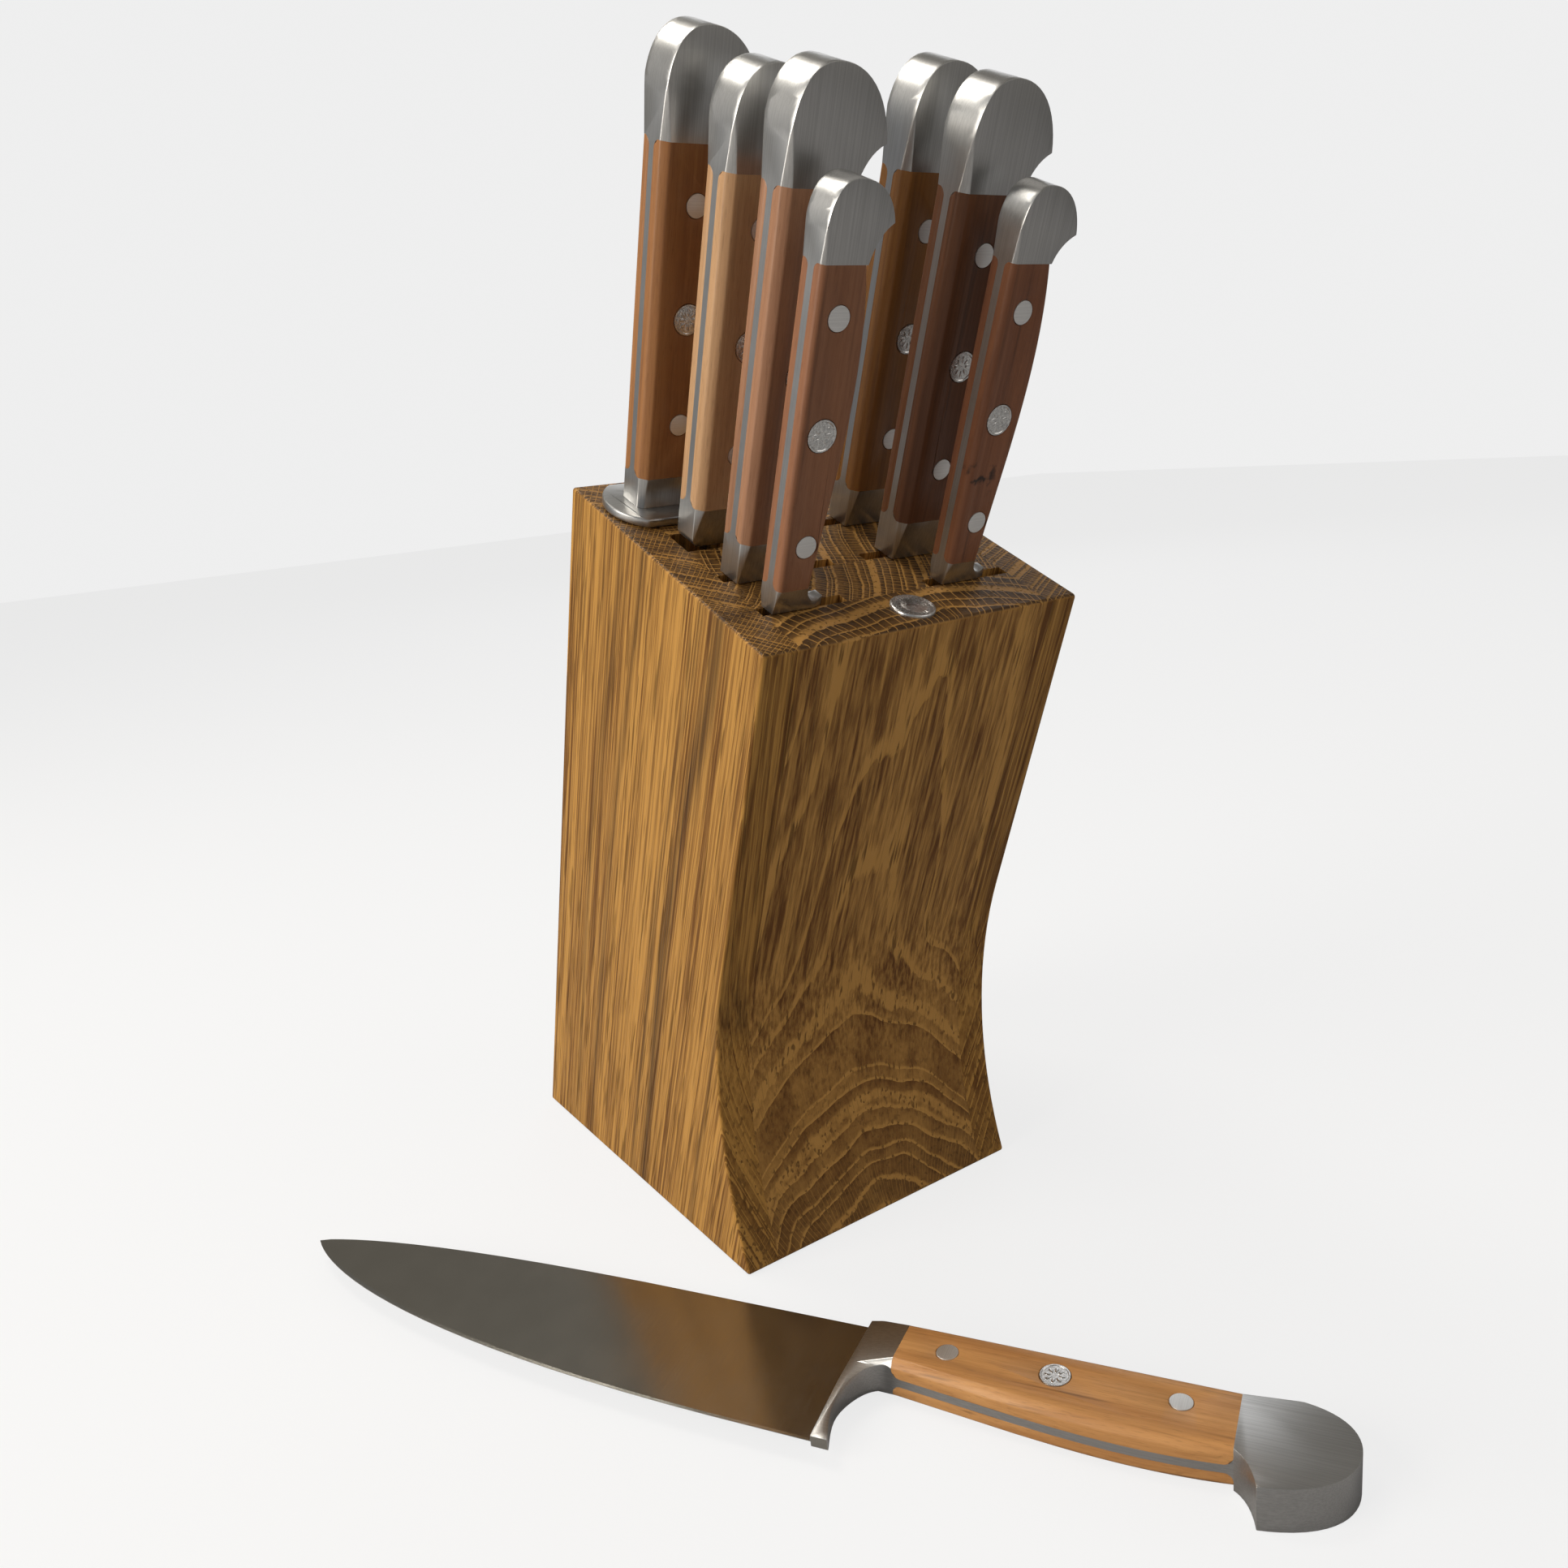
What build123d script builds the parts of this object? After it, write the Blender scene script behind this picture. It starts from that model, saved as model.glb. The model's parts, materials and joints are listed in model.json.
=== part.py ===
"""Oak knife block that leans forward, with its knives, fork and sharpening steel.

The block is laminated from five core boards between two side boards.  The
slots are channels milled into the core boards before they are glued up, so
they run parallel to the block's back.

Three frames are used.  The row's frame has its origin in the middle of the
block's base, X across the width, Y to the back and Z up.  The stack frame is
the block before it leans: X from the left side, Y from the front face across
the thickness of the stack, Z along the slots with the top face at zero.  The
knife frame has X from the front of the handle's wood to the pommel, Y up to
the knife's back and Z across its thickness.
"""
import os
from math import asin, cos, radians, sin, sqrt

from build123d import *

# ---------------------------------------------------------------- block (mm)
BLOCK_WIDTH = 115.0
STACK_THICKNESS = 115.5             # square to the slots
LEAN = 23.0                         # degrees that the slots lean forward
TOP_FRONT_HEIGHT = 216.4            # top front edge above the counter
FOOT_REACH = 49.8                   # foot's front edge behind the top front edge
FRONT_CURVE_RADIUS = 160.0          # hollow that sweeps out to the foot
EDGE_ROUND = 1.2
SIDE_BOARD = 12.2
INNER_RIGHT = BLOCK_WIDTH - SIDE_BOARD

GLUE_LINES = (19.5, 41.0, 66.5, 91.0)   # Y where one core board meets the next
SLOT_WIDTH = 4.2
CHEF_SLOT_WIDTH = 5.8
CHEF_CHANNEL = (53.0, INNER_RIGHT)      # X range
CHEF_CHANNEL_DEPTH = 226.0
CHANNEL_SPARE = 12.0                    # a channel's depth past its blade's tip

BADGE_RADIUS = 6.9
BADGE_THICKNESS = 2.4
BADGE_PROUD = 1.0
BADGE_SETBACK = 9.8                 # centre behind the top front edge

# ------------------------------------------------------------- handles (mm)
TANG_THICKNESS = 2.6
RIVET_RADIUS = 3.3
EMBLEM_RADIUS = 4.5
HEEL_THICKNESS = 3.6                # bolster beside the blade's heel
HEEL_SHARE = 0.4                    # of the bolster's length, at the heel
GUARD_NECK = 2.7                    # bolster's thinnest place above the heel
GUARD_BEND = 0.35                   # how far down that place is
FACET_SHARE = 0.62                  # of the pommel's length, where its facets end
STOP_GAP = 0.3                      # bolster above the block's top at rest
BLADE_SPINE_DROP = 0.6              # blade's back below the bolster's back
EDGE_THICKNESS = 0.3

# A handle: length of the wood, bolster and pommel, depth of the pommel and
# where its beak is along it, depth of the wood at its front, at its fullest
# and at its rear, thickness, chamfer, thickness of the bolster's front end,
# radius where tang meets collar, rivet stations and how deep they sit.
CHEF_HANDLE = dict(wood=95.5, bolster=13.3, pommel=30.5, beak=33.5, beak_at=0.22,
                   front=18.6, full=24.4, rear=22.6,
                   thick=13.2, chamfer=2.1, end=7.4, collar=2.6,
                   rivets=(14.3, 46.0, 80.5), rivet_depth=9.8)
LARGE_HANDLE = dict(wood=93.6, bolster=12.3, pommel=28.0, beak=28.6, beak_at=0.39,
                    front=18.4, full=23.6, rear=20.8,
                    thick=13.2, chamfer=2.1, end=9.6, collar=2.6,
                    rivets=(16.4, 47.4, 78.0), rivet_depth=11.6)
SMALL_HANDLE = dict(wood=85.8, bolster=7.6, pommel=19.3, beak=19.6, beak_at=0.50,
                    front=10.6, full=16.0, rear=13.6,
                    thick=9.8, chamfer=1.0, end=5.6, collar=1.8,
                    rivets=(12.6, 43.6, 73.2), rivet_depth=7.0)
LARDING_HANDLE = dict(SMALL_HANDLE, beak=20.2, beak_at=0.38)

# A knife in the block: handle, X of its back, glue line of its channel, X
# range of the channel, blade's length, depth, depth of the tip, thickness.
BLOCK_KNIVES = {
    "slicing": dict(handle=LARGE_HANDLE, spine_x=14.8, line=1, channel=(SIDE_BOARD, 51.6),
                    length=205.0, depth=29.0, tip=14.0, thick=2.4),
    "paring": dict(handle=SMALL_HANDLE, spine_x=14.5, line=0, channel=(SIDE_BOARD, 41.0),
                   length=80.0, depth=17.2, tip=7.0, thick=2.0),
    "utility": dict(handle=LARGE_HANDLE, spine_x=70.8, line=2, channel=(58.0, INNER_RIGHT),
                    length=160.0, depth=27.0, tip=12.0, thick=2.4),
    "bread": dict(handle=LARGE_HANDLE, spine_x=71.0, line=1, channel=(63.0, INNER_RIGHT),
                  length=210.0, depth=30.0, tip=17.0, thick=2.4),
    "larding": dict(handle=LARDING_HANDLE, spine_x=75.4, line=0, channel=(71.5, INNER_RIGHT),
                    length=100.0, depth=17.2, tip=7.0, thick=2.0),
}
SCALLOP_RADIUS = 5.0                # hollows along the bread knife's edge
SCALLOP_PITCH = 8.4
SCALLOP_BITE = 0.9
SCALLOP_COUNT = 16
CHEF_BLADE = dict(length=210.0, depth=46.8, tip=13.0, thick=3.0)
CHEF_PLACE = (-40.0, -151.4)        # front of the wood, lying on the counter
CHEF_TURN = -58.3                   # degrees that the handle points round from +X

# ----------------------------------------------------------------- fork (mm)
FORK_HANDLE = dict(LARGE_HANDLE, wood=91.4, pommel=25.9, end=8.6)
FORK_BOLSTER_ROUND = 3.0
FORK_SPINE_X = 14.2
FORK_Y = 68.0
FORK_CHANNEL = (SIDE_BOARD, 44.0)
FORK_SLOT = (62.0, 74.0)            # Y range
NECK_LENGTH = 42.0
NECK_RADIUS = 3.0
TINE_LENGTH = 125.0
TINE_RADIUS = 2.2
TINE_SPREAD = 13.0                  # between the tines' centres
TINE_POINT = 14.0                   # length of the pointed end

# ---------------------------------------------------------------- steel (mm)
STEEL_SPINE_X = 9.0
STEEL_Y = 93.5
STEEL_CHANNEL = (13.4, 26.8)
STEEL_SLOT = (86.8, 100.2)          # Y range
ROD_X = 20.1
ROD_RADIUS = 5.5
ROD_LENGTH = 245.0
ROD_TANG_RADIUS = 3.5
ROD_TANG_LENGTH = 6.0               # inside the bolster
GUARD_RADIUS = 17.5
GUARD_HALF_WIDTH = 14.0
GUARD_THICKNESS = 2.8
STEEL_HANDLE = dict(LARGE_HANDLE, bolster=9.4, end=12.2)

# ------------------------------------------------------------ worked out
lean = radians(LEAN)
BACK_LENGTH = (TOP_FRONT_HEIGHT + STACK_THICKNESS * sin(lean)) / cos(lean)
BASE_DEPTH = STACK_THICKNESS * cos(lean) + BACK_LENGTH * sin(lean) - FOOT_REACH
FOOT_Y = FOOT_REACH * cos(lean) - TOP_FRONT_HEIGHT * sin(lean)
FOOT_Z = -FOOT_REACH * sin(lean) - TOP_FRONT_HEIGHT * cos(lean)
LEANED = Pos(-BLOCK_WIDTH / 2, -BASE_DEPTH / 2 - FOOT_REACH, TOP_FRONT_HEIGHT) * Rot(LEAN, 0, 0)


def block_of_space(x_range, y_range, z_range):
    """A box between two opposite corners."""
    sizes = [high - low for low, high in (x_range, y_range, z_range)]
    centre = [(high + low) / 2 for low, high in (x_range, y_range, z_range)]
    return Pos(*centre) * Box(*sizes)


def export(node, *solids):
    """Write one node, as a single solid or as a group of separate ones."""
    shape = solids[0] if len(solids) == 1 else Compound(children=list(solids))
    shape.label = node
    export_step(shape, f"parts/{node}.step")


# =============================================================== the block
def side_profile():
    """The block's outline seen from the side, in the stack frame."""
    radius = FRONT_CURVE_RADIUS
    curve_top = FOOT_Z + sqrt(radius ** 2 - (FOOT_Y + radius) ** 2)
    half_turn = asin((FOOT_Z - curve_top) / radius) / 2
    curve_middle = (radius * cos(half_turn) - radius, curve_top + radius * sin(half_turn))
    outline = [
        Line((0, 0), (0, curve_top)),
        ThreePointArc((0, curve_top), curve_middle, (FOOT_Y, FOOT_Z)),
        Line((FOOT_Y, FOOT_Z), (STACK_THICKNESS, -BACK_LENGTH)),
        Line((STACK_THICKNESS, -BACK_LENGTH), (STACK_THICKNESS, 0)),
        Line((STACK_THICKNESS, 0), (0, 0)),
    ]
    face = make_face(outline)
    corners = [v for v in face.vertices() if abs(v.Y - curve_top) > 1]
    return fillet(corners, EDGE_ROUND)


def board(x_range, y_range=None):
    """A slab of the block: the side profile cut to a range of X and Y."""
    slab = extrude(Plane.YZ.offset(x_range[0]) * side_profile(), x_range[1] - x_range[0])
    if y_range:
        reach = BACK_LENGTH + 50
        slab = slab & block_of_space(x_range, y_range, (-reach, reach))
    return slab


def side_board(x_range, outer_x):
    """An outer board, rounded along every edge of its outer face."""
    plank = board(x_range)
    outer_face = min(plank.faces(), key=lambda f: abs(f.center().X - outer_x))
    return fillet(outer_face.edges(), EDGE_ROUND * 0.8)


def channel(x_range, y_range, depth):
    """A slot open at the block's top."""
    return block_of_space(x_range, y_range, (-depth, 5))


def blade_channel(knife):
    front = GLUE_LINES[knife["line"]]
    return channel(knife["channel"], (front, front + SLOT_WIDTH), knife["length"] + CHANNEL_SPARE)


def build_block():
    fork_depth = NECK_LENGTH + TINE_LENGTH + CHANNEL_SPARE
    back_line = GLUE_LINES[3]
    cuts = [blade_channel(knife) for knife in BLOCK_KNIVES.values()]
    cuts.append(channel(CHEF_CHANNEL, (back_line, back_line + CHEF_SLOT_WIDTH), CHEF_CHANNEL_DEPTH))
    cuts.append(channel(FORK_CHANNEL, FORK_SLOT, fork_depth))
    cuts.append(channel(STEEL_CHANNEL, STEEL_SLOT, ROD_LENGTH + CHANNEL_SPARE))
    badge_spot = Pos(BLOCK_WIDTH / 2, BADGE_SETBACK, BADGE_PROUD - BADGE_THICKNESS / 2)
    badge = badge_spot * Cylinder(BADGE_RADIUS, BADGE_THICKNESS)
    cuts.append(badge)
    badge = chamfer(badge.edges().group_by(Axis.Z)[-1], 0.4)

    limits = (FOOT_Y - 5,) + GLUE_LINES + (STACK_THICKNESS + 5,)
    names = ("core_board_front", "core_board_2", "core_board_3", "core_board_4", "core_board_back")
    for name, low, high in zip(names, limits, limits[1:]):
        core = board((SIDE_BOARD, INNER_RIGHT), (low, high))
        for cut in cuts:
            core = core - cut
        export(name, LEANED * core)
    export("side_board_left", LEANED * side_board((0, SIDE_BOARD), 0))
    export("side_board_right", LEANED * side_board((INNER_RIGHT, BLOCK_WIDTH), BLOCK_WIDTH))
    export("top_badge", LEANED * badge)


# ============================================================= the handles
def belly_curve(handle):
    """The lower edge of the wood, fullest two thirds of the way back."""
    swell = handle["full"] - handle["front"]
    return Spline(
        (0, -handle["front"]),
        (handle["wood"] * 0.34, -handle["front"] - swell * 0.62),
        (handle["wood"] * 0.68, -handle["full"]),
        (handle["wood"], -handle["rear"]),
    )


def wood_outline(handle):
    length = handle["wood"]
    return make_face([
        Line((0, 0), (length, 0)),
        Line((length, 0), (length, -handle["rear"])),
        belly_curve(handle),
        Line((0, -handle["front"]), (0, 0)),
    ])


def pommel_outline(handle):
    """A rounded end cap whose lower corner hooks forward into a beak."""
    start = handle["wood"]
    rear = handle["rear"]

    def at(along, deep):
        return (start + along * handle["pommel"], -deep * handle["beak"])

    tip = handle["beak_at"]
    root = rear / handle["beak"]
    return make_face([
        Line((start, 0), at(0.35, 0)),
        Bezier(at(0.35, 0), at(0.75, 0), at(1, 0.16), at(1, 0.42)),
        Bezier(at(1, 0.42), at(1, 0.72), at(tip + 0.62 * (1 - tip), 0.94), at(tip, 1)),
        Bezier(at(tip, 1), at(tip * 0.8, 0.84), at(tip * 0.45, root + 0.05), at(0, root)),
        Line((start, -rear), (start, 0)),
    ])


def rivet_places(handle):
    """Front rivet, emblem rivet and rear rivet, in the knife frame."""
    return [(station, -handle["rivet_depth"]) for station in handle["rivets"]]


def all_rivets(handle):
    """Front rivet, emblem rivet and rear rivet as solids."""
    radii = (RIVET_RADIUS, EMBLEM_RADIUS, RIVET_RADIUS)
    pins = zip(rivet_places(handle), radii)
    return [Pos(*place, 0) * Cylinder(radius, handle["thick"]) for place, radius in pins]


def collar_fill(handle):
    """Steel that rounds the corners between the tang and the two collars."""
    radius = handle["collar"]
    inner = TANG_THICKNESS / 2
    length = handle["wood"]
    within = extrude(Pos(0, 0, inner) * wood_outline(handle), radius)
    fill = []
    for end, centre in ((0, radius), (length, length - radius)):
        corner = block_of_space(sorted((end, centre)), (-handle["full"] - 5, 5), (inner, inner + radius))
        hollow = Pos(centre, 0, inner + radius) * Rot(90, 0, 0) * Cylinder(radius, 200)
        fill.append((corner - hollow) & within)
    return fill


def scale(handle):
    """The wooden scale on the +Z side, chamfered along its outer edges."""
    inner = TANG_THICKNESS / 2
    wood = extrude(Pos(0, 0, inner) * wood_outline(handle), handle["thick"] / 2 - inner)
    outer_face = wood.faces().sort_by(Axis.Z)[-1]
    long_edges = [edge for edge in outer_face.edges() if edge.length > handle["wood"] * 0.9]
    wood = chamfer(long_edges, handle["chamfer"])
    for cut in collar_fill(handle) + all_rivets(handle):
        wood = wood - cut
    return wood


def bolster_outline(handle, depth):
    """Side view of the bolster; with a depth, its guard runs down to the heel."""
    front = -handle["bolster"]
    root = -handle["front"]
    if depth is None:
        return make_face(Polyline((0, 0), (front, 0), (front, root), (0, root), close=True))
    heel = front + HEEL_SHARE * handle["bolster"]
    neck = front + GUARD_NECK
    back_curve = Spline(
        (0, root),
        (neck, root - GUARD_BEND * (depth + root)),
        (heel, -depth),
        tangents=((-1, 0.3), (0.35, -1)),
    )
    return make_face([
        Line((0, 0), (front, 0)),
        Line((front, 0), (front, -depth)),
        Line((front, -depth), (heel, -depth)),
        back_curve,
        Line((0, root), (0, 0)),
    ])


def bolster(handle, depth):
    """Steel collar that tapers from the wood's eight sides to the blade."""
    front = -handle["bolster"]
    root = handle["front"]
    face = handle["thick"] / 2
    outline = extrude(Pos(0, 0, -face) * bolster_outline(handle, depth), handle["thick"])
    cut = handle["chamfer"]
    half = [(0, face - cut), (-cut, face), (cut - root, face), (-root, face - cut)]
    if depth is not None:
        half.append((-depth, HEEL_THICKNESS / 2))
    ring = half + [(y, -z) for y, z in reversed(half)]
    section = make_face(Polyline(*ring, close=True))
    section_prism = extrude(Plane.YZ.offset(front - 1) * section, 2 - front)
    end = handle["end"] / 2
    taper = make_face(Polyline((front, -end), (0, -face), (0, face), (front, end), close=True))
    taper_prism = extrude(Plane.XZ.offset(-5) * taper, (depth or root) + 10)
    return outline & section_prism & taper_prism


def pommel(handle):
    """End cap whose two back edges carry on the wood's chamfers and run out."""
    face = handle["thick"] / 2
    cut = handle["chamfer"]
    run = FACET_SHARE * handle["pommel"]
    cap = extrude(Pos(0, 0, -face) * pommel_outline(handle), handle["thick"])
    facet = Plane(origin=(handle["wood"], 0, face - cut), z_dir=(-cut * cut, cut * run, cut * run))
    beyond = facet * Pos(0, 0, 50) * Box(100, 100, 100)
    return cap - beyond - mirror(beyond, about=Plane.XY)


def handle_frame(handle, front_piece):
    """Bolster, full tang and pommel in one forging, bored for the rivets."""
    tang = extrude(Pos(0, 0, -TANG_THICKNESS / 2) * wood_outline(handle), TANG_THICKNESS)
    frame = front_piece + tang + pommel(handle)
    for fill in collar_fill(handle):
        frame = frame + fill + mirror(fill, about=Plane.XY)
    for pin in all_rivets(handle):
        frame = frame - pin
    return frame


# ============================================================== the blades
def blade_outline(start, length, depth, tip):
    """Straight back that falls to the tip, and an edge that curves up to it."""

    def at(along, deep):
        return (start - along * length, -deep)

    back = BLADE_SPINE_DROP
    return make_face([
        Line(at(0, back), at(0.25, back)),
        Bezier(at(0.25, back), at(0.55, back), at(0.87, back + 0.2 * (tip - back)), at(1, tip)),
        Bezier(at(1, tip), at(0.92, 0.58 * depth), at(0.66, 0.98 * depth), at(0.15, depth)),
        Line(at(0.15, depth), at(0, depth)),
        Line(at(0, depth), at(0, back)),
    ])


def blade(start, length, depth, tip, thick):
    """A blade ground thin towards its edge and towards its tip."""
    outline = extrude(Pos(0, 0, -thick / 2) * blade_outline(start, length, depth, tip), thick)
    half = thick / 2
    edge = EDGE_THICKNESS / 2
    grind = make_face(Polyline((0, half), (-depth, edge), (-depth, -edge), (0, -half), close=True))
    grind_prism = extrude(Plane.YZ.offset(start - length - 1) * grind, length + 2)
    fine = half * 0.3
    distal = make_face(Polyline((start, half), (start - length, fine), (start - length, -fine),
                                (start, -half), close=True))
    distal_prism = extrude(Plane.XZ.offset(-5) * distal, depth + 10)
    return outline & grind_prism & distal_prism


def scallops(start, depth):
    """Hollows that make a wavy edge."""
    deep = depth + SCALLOP_RADIUS - SCALLOP_BITE
    first = start - SCALLOP_PITCH
    return [Pos(first - i * SCALLOP_PITCH, -deep, 0) * Cylinder(SCALLOP_RADIUS, 10)
            for i in range(SCALLOP_COUNT)]


def fork_prongs(handle):
    """A round neck that splits into two pointed tines."""
    start = -handle["bolster"]
    middle = -handle["front"] / 2
    yoke = start - NECK_LENGTH
    side = TINE_SPREAD / 2
    straight_end = yoke - TINE_LENGTH + TINE_POINT
    path = Wire([
        Line((straight_end, middle + side), (yoke - side, middle + side)),
        ThreePointArc((yoke - side, middle + side), (yoke, middle), (yoke - side, middle - side)),
        Line((yoke - side, middle - side), (straight_end, middle - side)),
    ])
    section = Plane(origin=path @ 0, z_dir=path % 0) * Circle(TINE_RADIUS)
    prongs = sweep(section, path)
    for offset in (side, -side):
        point = Cone(TINE_RADIUS, 0.4, TINE_POINT)
        turned = Pos(straight_end - TINE_POINT / 2, middle + offset, 0) * Rot(0, -90, 0)
        prongs = prongs + turned * point
    neck = Pos(start - NECK_LENGTH / 2, middle, 0) * Rot(0, 90, 0) * Cylinder(NECK_RADIUS, NECK_LENGTH)
    return prongs + neck


# =========================================================== whole knives
def export_handle(name, steel_name, steel, handle, place):
    """Write a handle's five nodes: steel, two scales and two sorts of rivet."""
    front_scale = scale(handle)
    back_scale = mirror(front_scale, about=Plane.XY)
    front_rivet, emblem, rear_rivet = all_rivets(handle)
    export(f"{name}_{steel_name}", place * steel)
    export(f"{name}_scale_front", place * front_scale)
    export(f"{name}_scale_back", place * back_scale)
    export(f"{name}_rivets", place * front_rivet, place * rear_rivet)
    export(f"{name}_emblem_rivet", place * emblem)


def in_block(spine_x, middle_y, wood_height):
    """Knife frame to row frame for a knife that stands in the block."""
    upright = Plane(origin=(spine_x, middle_y, wood_height), x_dir=(0, 0, 1), z_dir=(0, -1, 0))
    return LEANED * upright.location


def build_block_knives():
    for name, knife in BLOCK_KNIVES.items():
        handle = knife["handle"]
        middle_y = GLUE_LINES[knife["line"]] + SLOT_WIDTH / 2
        place = in_block(knife["spine_x"], middle_y, handle["bolster"] + STOP_GAP)
        steel = handle_frame(handle, bolster(handle, knife["depth"])) + blade(
            -handle["bolster"], knife["length"], knife["depth"], knife["tip"], knife["thick"])
        if name == "bread":
            for hollow in scallops(-handle["bolster"], knife["depth"]):
                steel = steel - hollow
        export_handle(f"{name}_knife", "blade", steel, handle, place)


def build_chef_knife():
    handle = CHEF_HANDLE
    place = Pos(*CHEF_PLACE, handle["thick"] / 2) * Rot(0, 0, CHEF_TURN)
    steel = handle_frame(handle, bolster(handle, CHEF_BLADE["depth"]))
    steel = steel + blade(-handle["bolster"], **CHEF_BLADE)
    export_handle("chef_knife", "blade", steel, handle, place)


def build_fork():
    handle = FORK_HANDLE
    place = in_block(FORK_SPINE_X, FORK_Y, handle["bolster"] + STOP_GAP)
    collar = bolster(handle, None)
    front_edges = collar.faces().sort_by(Axis.X)[0].edges().filter_by(Axis.Z)
    collar = fillet(front_edges, FORK_BOLSTER_ROUND)
    steel = handle_frame(handle, collar) + fork_prongs(handle)
    export_handle("carving_fork", "prongs", steel, handle, place)


def build_steel():
    """Rod, guard plate and handle; the rod's tang passes through the guard."""
    handle = STEEL_HANDLE
    guard_top = STOP_GAP + GUARD_THICKNESS
    bore = Pos(ROD_X, STEEL_Y, STOP_GAP) * Cylinder(
        ROD_TANG_RADIUS, GUARD_THICKNESS + ROD_TANG_LENGTH,
        align=(Align.CENTER, Align.CENTER, Align.MIN))
    rod = Pos(ROD_X, STEEL_Y, STOP_GAP - ROD_LENGTH / 2) * Cylinder(ROD_RADIUS, ROD_LENGTH)
    rod = fillet(rod.edges().group_by(Axis.Z)[0], 3.0) + bore
    round_plate = Cylinder(GUARD_RADIUS, GUARD_THICKNESS)
    plate = round_plate & Box(3 * GUARD_RADIUS, 2 * GUARD_HALF_WIDTH, GUARD_THICKNESS)
    guard = Pos(ROD_X - 1.0, STEEL_Y, STOP_GAP + GUARD_THICKNESS / 2) * plate - bore
    place = in_block(STEEL_SPINE_X, STEEL_Y, guard_top + handle["bolster"])
    frame = place * handle_frame(handle, bolster(handle, None)) - LEANED * bore
    export("steel_rod", LEANED * rod)
    export("steel_guard", LEANED * guard)
    front_scale = scale(handle)
    front_rivet, emblem, rear_rivet = all_rivets(handle)
    export("steel_handle_frame", frame)
    export("steel_scale_front", place * front_scale)
    export("steel_scale_back", place * mirror(front_scale, about=Plane.XY))
    export("steel_rivets", place * front_rivet, place * rear_rivet)
    export("steel_emblem_rivet", place * emblem)


os.makedirs("parts", exist_ok=True)
build_block()
build_block_knives()
build_chef_knife()
build_fork()
build_steel()
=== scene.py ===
# %% [markdown]
# # A leaning oak knife block and its knives
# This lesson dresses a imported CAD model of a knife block.  The CAD gives the
# exact places and sizes, and Blender adds what a machine drawing leaves out:
# soft edges, oak with real growth rings, oiled pear wood, brushed steel and
# the light of a room with one big window.

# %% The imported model
import json
import math

import bmesh
import bpy
from mathutils import Matrix, Vector


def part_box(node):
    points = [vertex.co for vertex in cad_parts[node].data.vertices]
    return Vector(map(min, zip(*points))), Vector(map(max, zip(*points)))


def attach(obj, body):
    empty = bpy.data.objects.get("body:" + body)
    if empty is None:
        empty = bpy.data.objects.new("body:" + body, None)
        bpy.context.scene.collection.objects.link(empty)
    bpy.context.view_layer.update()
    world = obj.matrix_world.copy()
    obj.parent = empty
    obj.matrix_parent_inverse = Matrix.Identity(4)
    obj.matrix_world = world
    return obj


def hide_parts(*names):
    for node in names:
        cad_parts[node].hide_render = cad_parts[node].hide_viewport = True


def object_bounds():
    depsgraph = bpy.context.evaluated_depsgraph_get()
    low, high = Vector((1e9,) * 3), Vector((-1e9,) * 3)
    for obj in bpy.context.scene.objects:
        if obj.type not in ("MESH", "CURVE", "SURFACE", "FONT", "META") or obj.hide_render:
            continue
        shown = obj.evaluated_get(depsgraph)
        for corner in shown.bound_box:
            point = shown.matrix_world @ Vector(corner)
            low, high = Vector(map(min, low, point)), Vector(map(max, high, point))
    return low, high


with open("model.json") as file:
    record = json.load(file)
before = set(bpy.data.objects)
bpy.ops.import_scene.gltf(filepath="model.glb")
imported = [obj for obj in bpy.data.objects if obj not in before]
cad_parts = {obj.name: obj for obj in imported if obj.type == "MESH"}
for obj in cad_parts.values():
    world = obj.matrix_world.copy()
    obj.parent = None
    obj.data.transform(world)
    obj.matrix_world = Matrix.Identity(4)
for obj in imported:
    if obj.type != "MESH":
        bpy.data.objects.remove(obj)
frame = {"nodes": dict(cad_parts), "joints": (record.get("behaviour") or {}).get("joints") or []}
cad_low, cad_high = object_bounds()
nodes = frame["nodes"]
print("CAD box in mm:", [round(v * 1000) for v in cad_high - cad_low])

# %% [markdown]
# ## Where things are
# Every slot runs along one leaning direction, and the slide joints of the
# record say which.  A handle has three directions of its own: along it
# towards the pommel, up to its back, and through its thickness.  The middle
# rivet is a good zero point, because every handle has one.

# %% Directions of the block and of each handle
TOOLS = {
    "slicing_knife": "slicing_knife_blade",
    "paring_knife": "paring_knife_blade",
    "utility_knife": "utility_knife_blade",
    "bread_knife": "bread_knife_blade",
    "larding_knife": "larding_knife_blade",
    "chef_knife": "chef_knife_blade",
    "carving_fork": "carving_fork_prongs",
    "sharpening_steel": "steel_handle_frame",
}
joint_axes = {joint["child"]: Vector(joint["axis"]) for joint in frame["joints"]}
slot_axis = joint_axes["slicing_knife"].normalized()
lean = math.atan2(-slot_axis.y, slot_axis.z)


def stem(tool):
    """What the names of a tool's nodes start with."""
    return "steel" if tool == "sharpening_steel" else tool


def middle(node):
    low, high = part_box(node)
    return (low + high) / 2


def rivet_centres(tool):
    """Middles of the two plain rivets, the one nearer the blade first."""
    centre = middle(stem(tool) + "_emblem_rivet")
    ends = [[], []]
    along = slot_axis if tool != "chef_knife" else Vector((1, -1, 0))
    for vertex in nodes[stem(tool) + "_rivets"].data.vertices:
        ends[(vertex.co - centre).dot(along) > 0].append(vertex.co)
    return [sum(points, Vector()) / len(points) for points in ends]


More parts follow.
